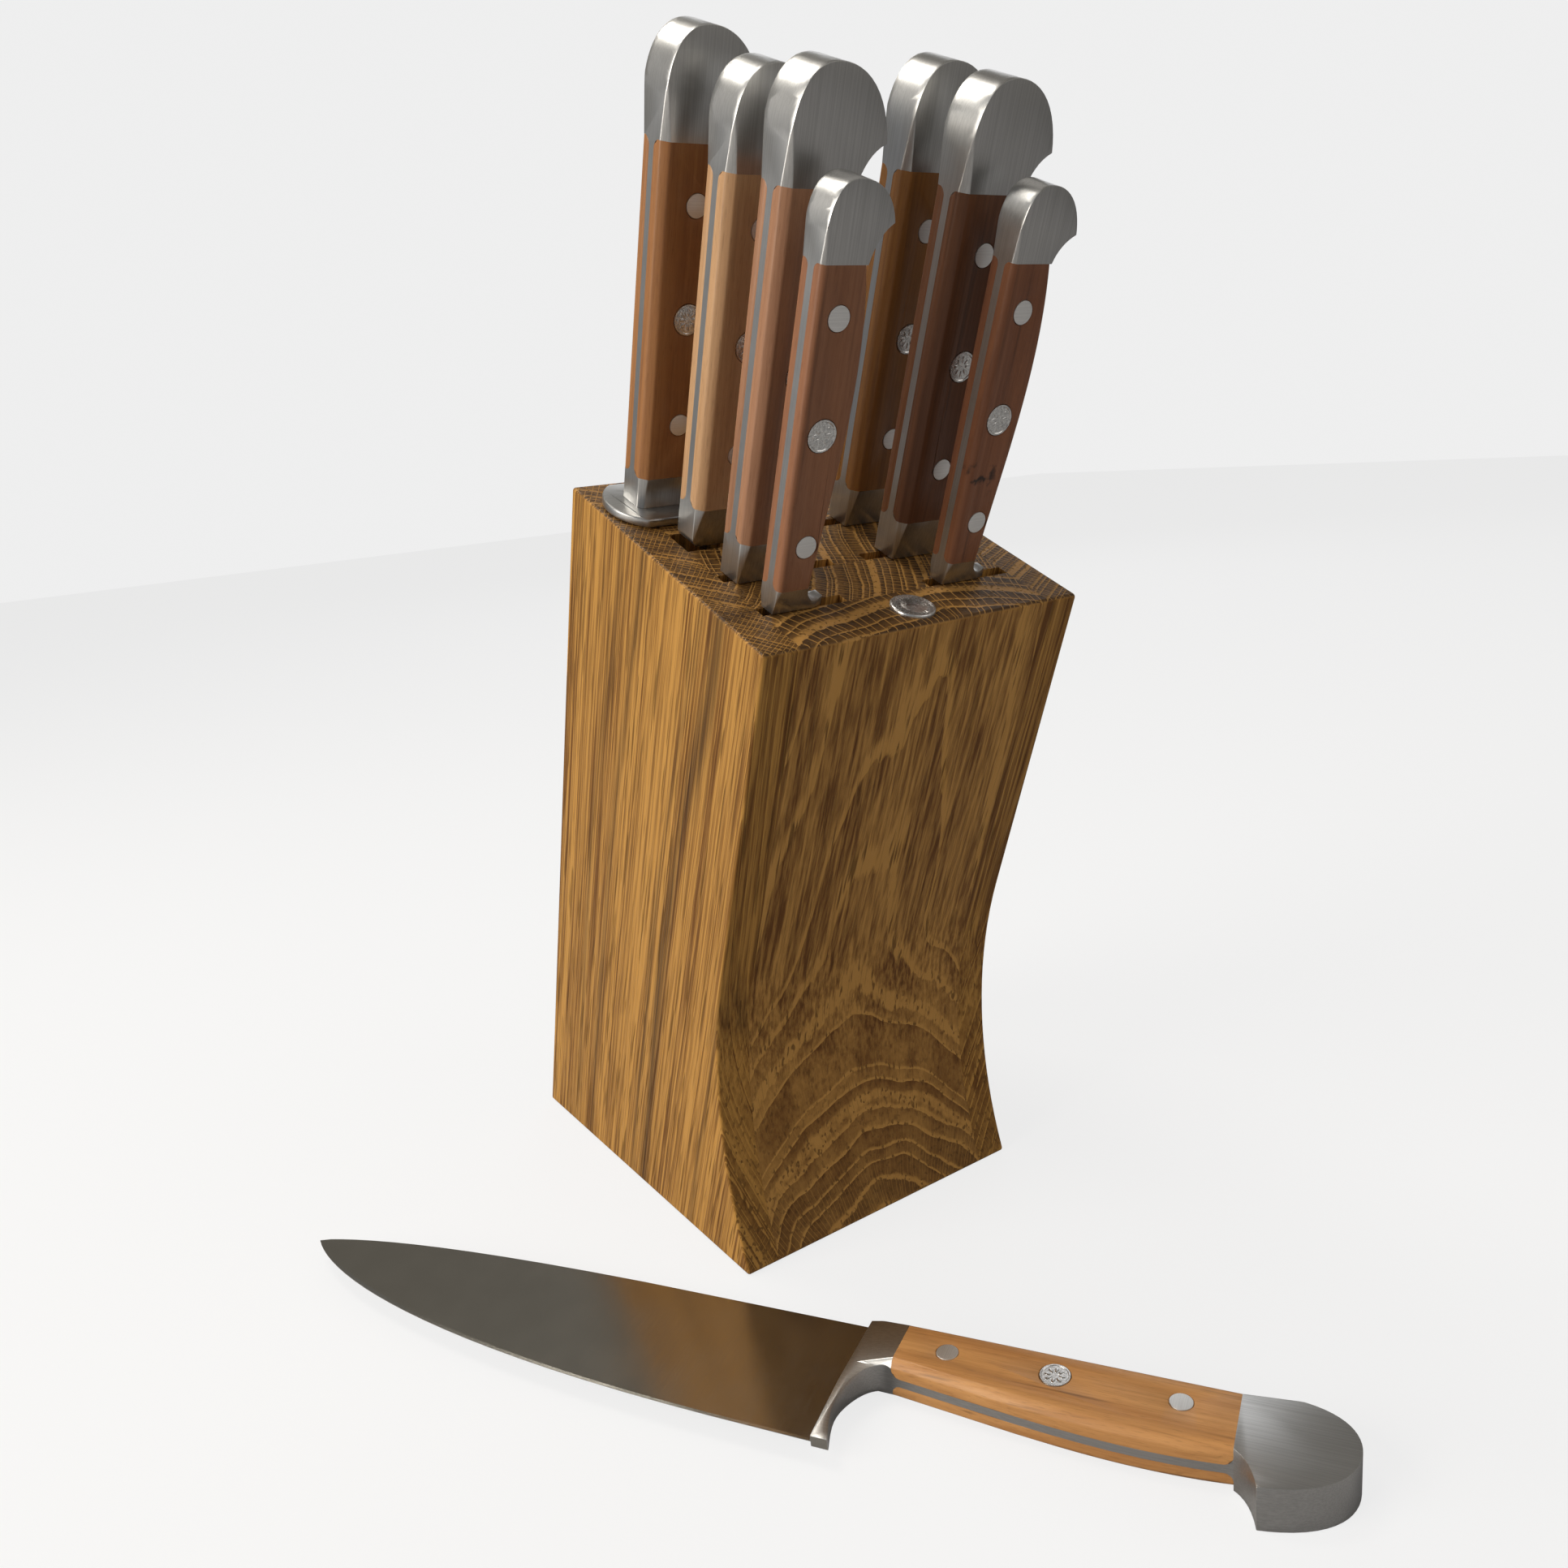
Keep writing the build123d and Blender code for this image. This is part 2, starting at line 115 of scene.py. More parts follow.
def handle_space(tool):
    """Matrix from a handle's own space to the row: X to the pommel, Y to its back."""
    front, rear = rivet_centres(tool)
    along = (rear - front).normalized()
    back = Vector((-1, 0, 0)) if tool != "chef_knife" else Vector((0, 0, 1)).cross(along)
    through = along.cross(back)
    turn = Matrix((along, back, through)).transposed().to_4x4()
    return Matrix.Translation(middle(stem(tool) + "_emblem_rivet")) @ turn


spaces = {tool: handle_space(tool) for tool in TOOLS}


def extent(node, space):
    """Lowest and highest corner of a node in a space of its own."""
    inverse = space.inverted()
    points = [inverse @ vertex.co for vertex in nodes[node].data.vertices]
    low = Vector([min(p[i] for p in points) for i in range(3)])
    high = Vector([max(p[i] for p in points) for i in range(3)])
    return low, high


wood_ends = {tool: extent(stem(tool) + "_scale_front", spaces[tool]) for tool in TOOLS}
print("lean in degrees:", round(math.degrees(lean), 1))

# %% [markdown]
# ## The camera
# The camera looks slightly down at the block's left front corner.  It is set
# first, so that every later step can be checked in a render.

# %% Camera
CAMERA_PLACE = (-0.23198, -0.42293, 0.27189)
CAMERA_TURN = (74.430, 4.906, -35.244)
bpy.ops.object.camera_add(location=CAMERA_PLACE,
                          rotation=[math.radians(angle) for angle in CAMERA_TURN])
camera = bpy.context.object
camera.data.sensor_width = 36
camera.data.lens = 29.81
camera.data.shift_x = -0.0345
camera.data.shift_y = 0.0043
camera.data.clip_start = 0.01
bpy.context.scene.camera = camera

# %% [markdown]
# ## Light and floor
# The real block stands beside a window.  One large soft light far to the left
# makes the left side glow and leaves the front in half shade.  A small bright
# light high on the left is what polished steel shows as a hard white band.

# %% Room light
def soft_light(name, place, target, size, power, colour=(1, 1, 1)):
    """A rectangular light that faces a target."""
    bpy.ops.object.light_add(type="AREA", location=place)
    lamp = bpy.context.object
    lamp.name = name
    lamp.data.shape = "RECTANGLE"
    lamp.data.size, lamp.data.size_y = size
    lamp.data.energy = power
    lamp.data.color = colour
    lamp.rotation_euler = (Vector(target) - Vector(place)).to_track_quat("-Z", "Y").to_euler()
    return lamp


soft_light("window", (-1.5, 0.15, 0.75), (0, 0, 0.16), (1.1, 1.1), 25, (1.0, 0.94, 0.84))
soft_light("high_window", (-0.22, 0.38, 1.18), (-0.02, -0.14, 0.35), (0.34, 0.42), 5.0,
           (1.0, 0.96, 0.88))
soft_light("far_side", (1.3, 1.4, 1.2), (0, 0, 0.15), (1.4, 1.0), 5, (0.95, 0.97, 1.0))
soft_light("room", (0.9, -1.6, 1.3), (0, 0, 0.15), (1.8, 1.2), 8, (1.0, 0.97, 0.93))

# %% [markdown]
# The world is what the steel mirrors where no lamp is: cool daylight on the
# window's side and a warm, dim room on the other.  Only the camera itself
# sees it pale, so that the picture has a plain background.

# %% World
WINDOW_SIDE = (0.230, 0.270, 0.330, 1)
ROOM_SIDE = (0.200, 0.190, 0.172, 1)
world = bpy.data.worlds.new("room")
bpy.context.scene.world = world
world.use_nodes = True
sky = world.node_tree
direction = sky.nodes.new("ShaderNodeTexCoord")
parts = sky.nodes.new("ShaderNodeSeparateXYZ")
sky.links.new(direction.outputs["Generated"], parts.inputs[0])
sides = sky.nodes.new("ShaderNodeValToRGB")
sides.color_ramp.elements[0].color = WINDOW_SIDE
sides.color_ramp.elements[1].color = ROOM_SIDE
sides.color_ramp.elements[1].position = 0.35
shifted = sky.nodes.new("ShaderNodeMapRange")
shifted.inputs["From Min"].default_value = -1.0
sky.links.new(parts.outputs[0], shifted.inputs[0])
sky.links.new(shifted.outputs[0], sides.inputs[0])
room_shade = sky.nodes["Background"]
sky.links.new(sides.outputs[0], room_shade.inputs["Color"])
pale_shade = sky.nodes.new("ShaderNodeBackground")
pale_shade.inputs["Color"].default_value = (0.86, 0.86, 0.86, 1)
who_looks = sky.nodes.new("ShaderNodeLightPath")
chosen = sky.nodes.new("ShaderNodeMixShader")
sky.links.new(who_looks.outputs["Is Camera Ray"], chosen.inputs[0])
sky.links.new(room_shade.outputs[0], chosen.inputs[1])
sky.links.new(pale_shade.outputs[0], chosen.inputs[2])
sky.links.new(chosen.outputs[0], sky.nodes["World Output"].inputs[0])
bpy.context.scene.view_settings.view_transform = "Standard"

# %% Floor
bpy.ops.mesh.primitive_plane_add(size=8, location=(0, 0, cad_low.z - 0.0002))
floor = bpy.context.object
floor.name = "floor"


# %% [markdown]
# ## Tools for materials
# A material is a small machine of nodes.  Writing one by hand in Python is
# long, so a helper adds a node, sets it up and wires its inputs in one line.

# %% Helpers for node trees
def add_node(tree, kind, *inputs, into=None, **settings):
    """Add a node; inputs are values or sockets, in the order of its sockets."""
    node = tree.nodes.new("ShaderNode" + kind)
    for name, value in settings.items():
        setattr(node, name, value)
    wired = list(enumerate(inputs)) + list((into or {}).items())
    for key, value in wired:
        if value is None:
            continue
        if isinstance(value, bpy.types.NodeSocket):
            tree.links.new(value, node.inputs[key])
        else:
            node.inputs[key].default_value = value
    return node


def calculate(tree, operation, *inputs):
    return add_node(tree, "Math", *inputs, operation=operation).outputs[0]


def ramp(tree, value, low, high, to_low=0.0, to_high=1.0):
    """Scale a value smoothly from one range to another, and hold it at the ends."""
    node = add_node(tree, "MapRange", value, low, high, to_low, to_high,
                    interpolation_type="SMOOTHSTEP")
    return node.outputs[0]


def blend(tree, factor, a, b, blend_type="MIX"):
    """Mix two colours."""
    node = add_node(tree, "Mix", data_type="RGBA", blend_type=blend_type)
    for index, value in ((0, factor), (6, a), (7, b)):
        if isinstance(value, bpy.types.NodeSocket):
            tree.links.new(value, node.inputs[index])
        else:
            node.inputs[index].default_value = value
    return node.outputs[2]


def stretched_noise(tree, position, stretch, detail=2.0, rough=0.5):
    """Noise whose grains have a size of their own in X, Y and Z, in cells per metre."""
    scaled = add_node(tree, "VectorMath", position, stretch, operation="MULTIPLY").outputs[0]
    return add_node(tree, "TexNoise", scaled, into={"Scale": 1.0, "Detail": detail,
                                                    "Roughness": rough}).outputs[0]


def new_group(name, inputs, outputs):
    """A shader node group with named sockets: (name, kind, default)."""
    tree = bpy.data.node_groups.new(name, "ShaderNodeTree")
    for socket_name, kind, default in inputs:
        socket = tree.interface.new_socket(socket_name, in_out="INPUT",
                                           socket_type="NodeSocket" + kind)
        if default is not None:
            socket.default_value = default
    for socket_name, kind in outputs:
        tree.interface.new_socket(socket_name, in_out="OUTPUT", socket_type="NodeSocket" + kind)
    start = tree.nodes.new("NodeGroupInput")
    end = tree.nodes.new("NodeGroupOutput")
    return tree, start.outputs, end.inputs


def new_material(name):
    material = bpy.data.materials.new(name)
    material.use_nodes = True
    tree = material.node_tree
    return material, tree, tree.nodes["Principled BSDF"]


def place_group(tree, group_tree, **inputs):
    node = tree.nodes.new("ShaderNodeGroup")
    node.node_tree = group_tree
    for name, value in inputs.items():
        socket = node.inputs[name.replace("_", " ")]
        if isinstance(value, bpy.types.NodeSocket):
            tree.links.new(value, socket)
        else:
            socket.default_value = value
    return node


def in_space(tree, space):
    """Object coordinates, turned into a space of the piece's own."""
    coordinates = add_node(tree, "TexCoord")
    place = add_node(tree, "Mapping", coordinates.outputs["Object"], space.to_translation(),
                     space.to_euler(), vector_type="TEXTURE")
    facing = add_node(tree, "Mapping", coordinates.outputs["Normal"], None,
                      space.to_euler(), vector_type="TEXTURE")
    return place.outputs[0], facing.outputs[0]


def finish_surface(tree, shader, pattern, depth):
    """Wire a pattern group's colour, roughness and height to the shader."""
    tree.links.new(pattern.outputs["Color"], shader.inputs["Base Color"])
    tree.links.new(pattern.outputs["Roughness"], shader.inputs["Roughness"])
    bump = add_node(tree, "Bump", into={"Strength": 1.0, "Distance": depth,
                                        "Height": pattern.outputs["Height"]})
    tree.links.new(bump.outputs[0], shader.inputs["Normal"])


# %% [markdown]
# ## Oak
# A board is a piece cut out of a round tree, so its figure comes from the
# tree: rings round the heart, rays that point away from it and pores that run
# along it.  The group below grows a tree along Z with its heart at zero.  Each
# board then only says where the heart was.  End grain, straight grain and
# the arches on the hollow foot all come from the same tree, because the
# texture is solid.

# %% Oak group
oak, oak_in, oak_out = new_group(
    "oak tree",
    [("Position", "Vector", None), ("Facing", "Vector", None), ("Ring", "Float", 0.0034),
     ("Wobble", "Float", 0.006), ("Light", "Color", None), ("Dark", "Color", None),
     ("End Tone", "Color", None), ("Streak", "Float", 0.0), ("Rays", "Float", 42.0)],
    [("Color", "Color"), ("Roughness", "Float"), ("Height", "Float")])

bend_noise = add_node(oak, "VectorMath", oak_in["Position"], (30.0, 30.0, 7.0), operation="MULTIPLY")
bend_field = add_node(oak, "TexNoise", bend_noise.outputs[0], into={"Scale": 1.0, "Detail": 1.5})
bend_centred = add_node(oak, "VectorMath", bend_field.outputs["Color"], (0.5, 0.5, 0.5),
                        operation="SUBTRACT")
bend_scaled = add_node(oak, "VectorMath", bend_centred.outputs[0], operation="SCALE")
oak.links.new(oak_in["Wobble"], bend_scaled.inputs["Scale"])
bent = add_node(oak, "VectorMath", oak_in["Position"], bend_scaled.outputs[0], operation="ADD")
flat = add_node(oak, "VectorMath", bent.outputs[0], (1.0, 1.0, 0.0), operation="MULTIPLY")
radius = add_node(oak, "VectorMath", flat.outputs[0], operation="LENGTH").outputs["Value"]
split = add_node(oak, "SeparateXYZ", bent.outputs[0])
angle = calculate(oak, "ARCTAN2", split.outputs[1], split.outputs[0])

ring_count = calculate(oak, "DIVIDE", radius, oak_in["Ring"])
uneven = add_node(oak, "TexNoise", noise_dimensions="1D",
                  into={"W": calculate(oak, "MULTIPLY", ring_count, 0.45), "Scale": 1.0})
ripple = stretched_noise(oak, oak_in["Position"], (420.0, 420.0, 30.0), 2.0)
count = calculate(oak, "ADD", ring_count, calculate(oak, "MULTIPLY", uneven.outputs[0], 3.0))
count = calculate(oak, "ADD", count, calculate(oak, "MULTIPLY", ripple, 0.28))
season = calculate(oak, "FRACT", count)
year = add_node(oak, "TexWhiteNoise", noise_dimensions="1D",
                into={"W": calculate(oak, "FLOOR", count)}).outputs["Value"]
spring = calculate(oak, "MULTIPLY", ramp(oak, season, 0.0, 0.05), ramp(oak, season, 0.34, 0.16))

facing_z = calculate(oak, "ABSOLUTE", add_node(oak, "SeparateXYZ", oak_in["Facing"]).outputs[2])
end_grain = ramp(oak, facing_z, 0.45, 0.85)

fibre = stretched_noise(oak, oak_in["Position"], (760.0, 760.0, 13.0), 4.0, 0.65)
band = stretched_noise(oak, oak_in["Position"], (120.0, 120.0, 4.0), 2.0)
pore_noise = stretched_noise(oak, oak_in["Position"], (820.0, 820.0, 38.0), 1.0)
pore = ramp(oak, pore_noise, 0.57, 0.68)
pore = calculate(oak, "MULTIPLY", pore, ramp(oak, spring, 0.0, 1.0, 0.45, 1.0))
ray_cells = add_node(oak, "TexVoronoi", voronoi_dimensions="1D", feature="DISTANCE_TO_EDGE",
                     into={"W": calculate(oak, "MULTIPLY", angle, oak_in["Rays"]), "Scale": 1.0})
ray_line = ramp(oak, ray_cells.outputs["Distance"], 0.09, 0.03)
ray_break = stretched_noise(oak, bent.outputs[0], (300.0, 300.0, 55.0), 0.0)
ray = calculate(oak, "MULTIPLY", ray_line, ramp(oak, ray_break, 0.42, 0.52))

tone = calculate(oak, "ADD", calculate(oak, "MULTIPLY", season, 0.30),
                 calculate(oak, "MULTIPLY", year, 0.36))
tone = calculate(oak, "ADD", tone, calculate(oak, "MULTIPLY", ramp(oak, band, 0.35, 0.65), 0.34))
tone = calculate(oak, "SUBTRACT", tone, calculate(oak, "MULTIPLY", spring, 0.55))
fibre_tone = calculate(oak, "MULTIPLY", ramp(oak, fibre, 0.32, 0.68, -0.45, 0.45),
                       ramp(oak, facing_z, 0.50, 0.10, 0.25, 1.0))
tone = calculate(oak, "ADD", tone, fibre_tone)
face_colour = blend(oak, tone, oak_in["Light"], oak_in["Dark"])
PORE_TONE = (0.050, 0.020, 0.004, 1)
face_colour = blend(oak, calculate(oak, "MULTIPLY", pore, 0.66), face_colour, PORE_TONE)
RAY_TONE = (0.05, 0.022, 0.006, 1)
face_colour = blend(oak, calculate(oak, "MULTIPLY", ray, 0.25), face_colour, RAY_TONE)
LATE_WOOD = (0.022, 0.009, 0.002, 1)
end_colour = blend(oak, ramp(oak, season, 0.1, 1.0, 0.15, 0.75), oak_in["End Tone"], LATE_WOOD)
end_light = calculate(oak, "MAXIMUM", calculate(oak, "MULTIPLY", spring, 0.75),
                      calculate(oak, "MULTIPLY", ray_line, 0.8))
end_colour = blend(oak, end_light, end_colour, oak_in["Light"])
end_colour = blend(oak, calculate(oak, "MULTIPLY", pore, 0.5), end_colour, (0.012, 0.007, 0.003, 1))
colour = blend(oak, end_grain, face_colour, end_colour)
colour = blend(oak, oak_in["Streak"], colour, (0.040, 0.017, 0.004, 1))
oak.links.new(colour, oak_out["Color"])
oak.links.new(calculate(oak, "ADD", calculate(oak, "MULTIPLY", pore, 0.25),
                        ramp(oak, fibre, 0.3, 0.7, 0.42, 0.56)), oak_out["Roughness"])
height = calculate(oak, "SUBTRACT", calculate(oak, "MULTIPLY", fibre, 0.35), pore)
oak.links.new(calculate(oak, "SUBTRACT", height, calculate(oak, "MULTIPLY", spring, 0.25)),
              oak_out["Height"])

# %% [markdown]
# ## One tree for each board
# The front board's heart lies in front of the block, so its rings bulge to the
# back at the top and the flared foot cuts through them in arches.  The side
# boards were cut with their rings on the diagonal, which gives straight grain
# outside and a cross-hatch of rings and rays at their ends.

# %% Board materials
TOP_FRONT_HEIGHT = 0.2164
front_low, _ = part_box("core_board_front")
top_edge = Vector((0, front_low.y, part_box("side_board_left")[0].z + TOP_FRONT_HEIGHT))
lean_turn = Matrix.Rotation(lean, 4, "X")


def board_space(heart_x, heart_y, tilt=(0.0, 0.0)):
    """The space of the tree a board was cut from: metres across and back from the front edge."""
    tilts = Matrix.Rotation(tilt[0], 4, "X") @ Matrix.Rotation(tilt[1], 4, "Y")
    heart = Matrix.Translation((heart_x, heart_y, 0))
    return Matrix.Translation(top_edge) @ lean_turn @ heart @ tilts



def oak_material(name, space, ring, wobble, light, dark, end_tone, rays, streaks=()):
    material, tree, shader = new_material(name)
    position, facing = in_space(tree, space)
    streak = 0.0
    if streaks:
        across, _ = in_space(tree, board_space(0, 0))
        wander = stretched_noise(tree, across, (60.0, 60.0, 7.0), 2.0)
        _, back, height = add_node(tree, "SeparateXYZ", across).outputs
        back = calculate(tree, "ADD", back, ramp(tree, height, -0.14, 0.0, 0.0, 0.011))
        back = calculate(tree, "ADD", back, calculate(tree, "MULTIPLY", wander, 0.012))
        thread = stretched_noise(tree, across, (900.0, 900.0, 9.0), 2.0)
        for at, width, strength in streaks:
            away = calculate(tree, "ABSOLUTE", calculate(tree, "SUBTRACT", back, at))
            near = ramp(tree, away, width, 0.0)
            line = calculate(tree, "MULTIPLY", near, ramp(tree, thread, 0.3, 0.62, 0.35, 1.0))
            line = calculate(tree, "MULTIPLY", line, strength)
            streak = line if streak == 0.0 else calculate(tree, "MAXIMUM", streak, line)
    pattern = place_group(tree, oak, Position=position, Facing=facing, Ring=ring, Wobble=wobble,
                          Light=light, Dark=dark, End_Tone=end_tone, Streak=streak, Rays=rays)
    finish_surface(tree, shader, pattern, 0.00022)
    shader.inputs["Specular IOR Level"].default_value = 0.22
    return material


OAK_LIGHT = (0.560, 0.290, 0.075, 1)
OAK_DARK = (0.150, 0.058, 0.011, 1)
SIDE_LIGHT = (0.500, 0.255, 0.058, 1)
SIDE_DARK = (0.150, 0.058, 0.009, 1)
END_TONE = (0.185, 0.088, 0.022, 1)
BOARDS = {
    "core_board_front": ((0.004, -0.098), (0.05, 0.02), 0.0046, 0.013, OAK_LIGHT, OAK_DARK, 42.0),
    "core_board_2": ((-0.090, 0.080), (0.0, 0.0), 0.0024, 0.004, OAK_LIGHT, OAK_DARK, 60.0),
    "core_board_3": ((0.110, 0.010), (0.0, 0.0), 0.0028, 0.004, OAK_LIGHT, OAK_DARK, 60.0),
    "core_board_4": ((-0.030, 0.170), (0.0, 0.0), 0.0022, 0.004, OAK_LIGHT, OAK_DARK, 70.0),
    "core_board_back": ((0.030, -0.020), (0.02, 0.02), 0.0040, 0.006, SIDE_LIGHT, SIDE_DARK, 42.0),
    "side_board_left": ((-0.190, -0.110), (0.02, -0.01), 0.0017, 0.003, SIDE_LIGHT, SIDE_DARK, 130.0),
    "side_board_right": ((0.150, -0.150), (-0.015, 0.02), 0.0022, 0.003, SIDE_LIGHT, SIDE_DARK, 110.0),
}
LEFT_STREAKS = ((0.040, 0.006, 0.80), (0.049, 0.003, 0.45), (0.0045, 0.003, 0.45),
                (0.082, 0.004, 0.45), (0.097, 0.005, 0.40))
for board, (heart, tilt, ring, wobble, light, dark, rays) in BOARDS.items():
    streaks = LEFT_STREAKS if board == "side_board_left" else ()
    material = oak_material("oak_" + board, board_space(*heart, tilt), ring, wobble,
                            light, dark, END_TONE, rays, streaks)
    nodes[board].data.materials.clear()
    nodes[board].data.materials.append(material)
print("boards dressed:", len(BOARDS))

# %% [markdown]
# ## Steel
# Ground steel has fine parallel scratches.  They are a noise stretched until
# it is a bundle of lines, which changes the roughness and lifts the surface
# by a hair.  Polish is the same steel with shallower lines.

# %% Steel group
steel, steel_in, steel_out = new_group(
    "ground steel",
    [("Position", "Vector", None), ("Tone", "Color", None), ("Polish", "Float", 0.3),
     ("Grain", "Float", 0.2), ("Lines", "Vector", (40.0, 2600.0, 2600.0))],
    [("Color", "Color"), ("Roughness", "Float"), ("Height", "Float")])
scaled = add_node(steel, "VectorMath", steel_in["Position"], steel_in["Lines"], operation="MULTIPLY")
scratch = add_node(steel, "TexNoise", scaled.outputs[0],
                   into={"Scale": 1.0, "Detail": 3.0, "Roughness": 0.65}).outputs[0]
cloud = stretched_noise(steel, steel_in["Position"], (90.0, 90.0, 90.0), 3.0)
scratch_mask = calculate(steel, "MULTIPLY", ramp(steel, scratch, 0.3, 0.7), steel_in["Grain"])
steel_colour = blend(steel, scratch_mask, steel_in["Tone"], (0.06, 0.06, 0.06, 1))
steel.links.new(steel_colour, steel_out["Color"])
unevenness = calculate(steel, "ADD", ramp(steel, scratch, 0.3, 0.7, -0.02, 0.02),
                       ramp(steel, cloud, 0.3, 0.7, -0.01, 0.015))
steel.links.new(calculate(steel, "ADD", steel_in["Polish"], unevenness), steel_out["Roughness"])
steel.links.new(scratch, steel_out["Height"])


# %% Steel materials
FINE_SCRATCH = 0.0000002


def steel_material(name, space, tone, polish, grain, lines, depth=FINE_SCRATCH):
    material, tree, shader = new_material(name)
    position, _ = in_space(tree, space)
    pattern = place_group(tree, steel, Position=position, Tone=tone, Polish=polish,
                          Grain=grain, Lines=lines)
    finish_surface(tree, shader, pattern, depth)
    shader.inputs["Metallic"].default_value = 1.0
    return material


STEEL_TONE = (0.560, 0.555, 0.545, 1)
BLADE_TONE = (0.420, 0.400, 0.355, 1)
RIVET_TONE = (0.88, 0.87, 0.85, 1)
ALONG = (25.0, 2600.0, 2600.0)
ACROSS = (1700.0, 15.0, 1700.0)

# %% [markdown]
# ## Pear wood
# The handles are pear: pale to red brown, with hardly any pores, faint
# streaks and now and then a knot.  Every tool's scales came from another
# plank, so each gets its own pair of tones.

# %% Pear group
pear, pear_in, pear_out = new_group(
    "pear wood",
    [("Position", "Vector", None), ("Plank", "Float", 0.0), ("Light", "Color", None),
     ("Dark", "Color", None), ("Streaks", "Float", 0.3), ("Knots", "Float", 0.0)],
    [("Color", "Color"), ("Roughness", "Float"), ("Height", "Float")])
offset = add_node(pear, "CombineXYZ", pear_in["Plank"], pear_in["Plank"], pear_in["Plank"])
moved = add_node(pear, "VectorMath", pear_in["Position"], offset.outputs[0], operation="ADD").outputs[0]
drift = stretched_noise(pear, moved, (9.0, 130.0, 130.0), 3.0)
thread = stretched_noise(pear, moved, (24.0, 900.0, 900.0), 3.0, 0.6)
fleck = stretched_noise(pear, moved, (220.0, 3200.0, 3200.0), 1.0)
dark_line = stretched_noise(pear, moved, (14.0, 420.0, 420.0), 2.0)
pear_tone = calculate(pear, "ADD", ramp(pear, drift, 0.3, 0.7, 0.0, 0.75),
                      ramp(pear, thread, 0.3, 0.7, -0.12, 0.3))
pear_colour = blend(pear, pear_tone, pear_in["Light"], pear_in["Dark"])
streak_mask = calculate(pear, "MULTIPLY", ramp(pear, dark_line, 0.58, 0.72), pear_in["Streaks"])
pear_colour = blend(pear, streak_mask, pear_colour, (0.05, 0.02, 0.01, 1))
FLECK_TONE = (0.06, 0.022, 0.008, 1)
pear_colour = blend(pear, ramp(pear, fleck, 0.55, 0.75, 0.0, 0.22), pear_colour, FLECK_TONE)
KNOT_PLACE = (-0.0165, 0.003, 0.006)
from_knots = add_node(pear, "VectorMath", pear_in["Position"], KNOT_PLACE, operation="DISTANCE")
knot_area = ramp(pear, from_knots.outputs["Value"], 0.0085, 0.0035)
knot_spots = ramp(pear, stretched_noise(pear, moved, (240.0, 210.0, 210.0), 3.0), 0.52, 0.62)
knot_here = calculate(pear, "MULTIPLY", knot_area, knot_spots)
knot_mask = calculate(pear, "MULTIPLY", knot_here, pear_in["Knots"])
pear_colour = blend(pear, knot_mask, pear_colour, (0.018, 0.008, 0.004, 1))
pear.links.new(pear_colour, pear_out["Color"])
pear.links.new(ramp(pear, thread, 0.3, 0.7, 0.36, 0.48), pear_out["Roughness"])
pear.links.new(calculate(pear, "SUBTRACT", thread, calculate(pear, "MULTIPLY", fleck, 0.6)),
               pear_out["Height"])


def pear_material(name, space, plank, light, dark, streaks, knots):
    material, tree, shader = new_material(name)
    position, _ = in_space(tree, space)
    pattern = place_group(tree, pear, Position=position, Plank=plank, Light=light, Dark=dark,
                          Streaks=streaks, Knots=knots)
    finish_surface(tree, shader, pattern, 0.00006)
    shader.inputs["Specular IOR Level"].default_value = 0.35
    shader.inputs["Coat Weight"].default_value = 0.06
    shader.inputs["Coat Roughness"].default_value = 0.25
    return material


PLANKS = {
    "slicing_knife": (0.31, (0.370, 0.185, 0.100, 1), (0.250, 0.114, 0.057, 1), 0.25, "wood_pink"),
    "paring_knife": (0.77, (0.290, 0.125, 0.060, 1), (0.190, 0.075, 0.034, 1), 0.30, "wood_red"),
    "utility_knife": (1.13, (0.320, 0.140, 0.036, 1), (0.210, 0.084, 0.019, 1), 0.25, "wood_orange"),
    "bread_knife": (1.57, (0.180, 0.070, 0.028, 1), (0.105, 0.038, 0.015, 1), 0.45, "wood_dark"),
    "larding_knife": (2.21, (0.270, 0.105, 0.046, 1), (0.170, 0.060, 0.026, 1), 0.50, "wood_red"),
    "chef_knife": (2.83, (0.620, 0.310, 0.110, 1), (0.420, 0.185, 0.057, 1), 0.50, "wood_orange"),
    "carving_fork": (3.37, (0.540, 0.320, 0.165, 1), (0.410, 0.225, 0.105, 1), 0.15, "wood_pale"),
    "sharpening_steel": (3.91, (0.350, 0.155, 0.053, 1), (0.240, 0.094, 0.030, 1), 0.20, "wood_orange"),
}
KNOTTY = "larding_knife"

# %% [markdown]
# ## Soft edges
# CAD edges are perfectly sharp, and real ones never are: a narrow round
# catches the light and says that a thing is solid.  The part's own solid is
# copied, its loose triangles are joined and merged into clean faces, and its
# sharp edges get a small bevel.

# %% Soft copy of a CAD node
def select_only(piece):
    bpy.ops.object.select_all(action="DESELECT")
    piece.select_set(True)
    bpy.context.view_layer.objects.active = piece


